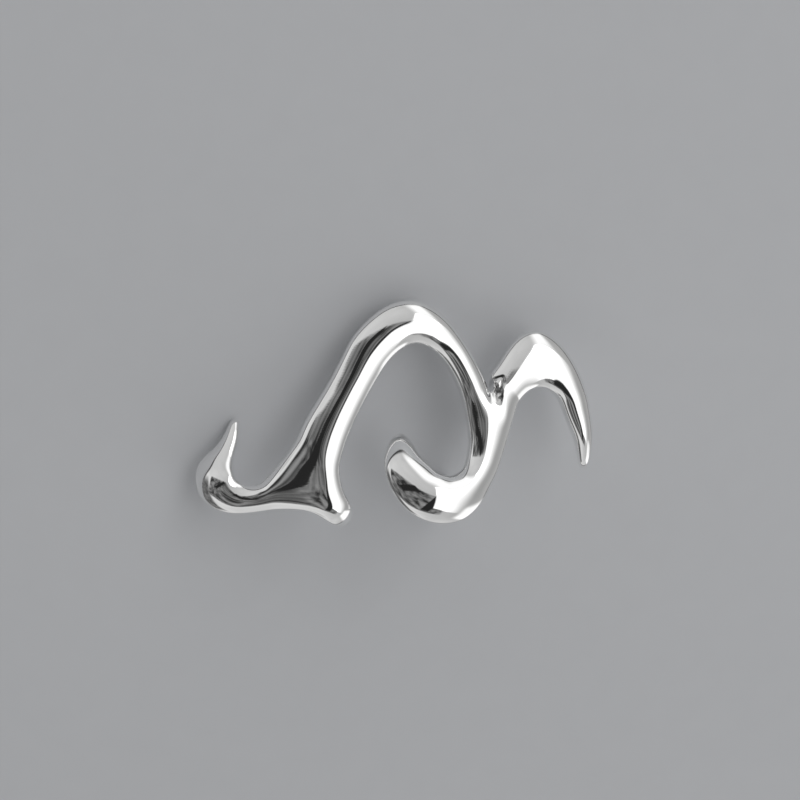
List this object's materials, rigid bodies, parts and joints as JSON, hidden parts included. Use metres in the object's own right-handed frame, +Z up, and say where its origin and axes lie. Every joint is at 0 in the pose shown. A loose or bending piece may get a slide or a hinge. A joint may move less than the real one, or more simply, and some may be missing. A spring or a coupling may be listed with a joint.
{
  "type": "tooth grill",
  "caption": "Polished silver tooth grill: one free-form cast line with claw, foot, arch, curl and hook that lies across the fronts of upper teeth, with a plain clasp behind the curl.",
  "frame": {"origin": "middle of the box, on the surface that the piece rests on", "axes": "+X along the row of teeth, from the claw to the hook; +Y from the biting edge towards the gum, as the piece lies; +Z up, away from the fitting side that it lies on"},
  "size_m": [0.0196, 0.0116, 0.0062],
  "materials": {
    "silver": "mirror-polished cast silver"
  },
  "bodies": {
    "root": {"grill_scroll": "silver"}
  },
  "joints": []
}
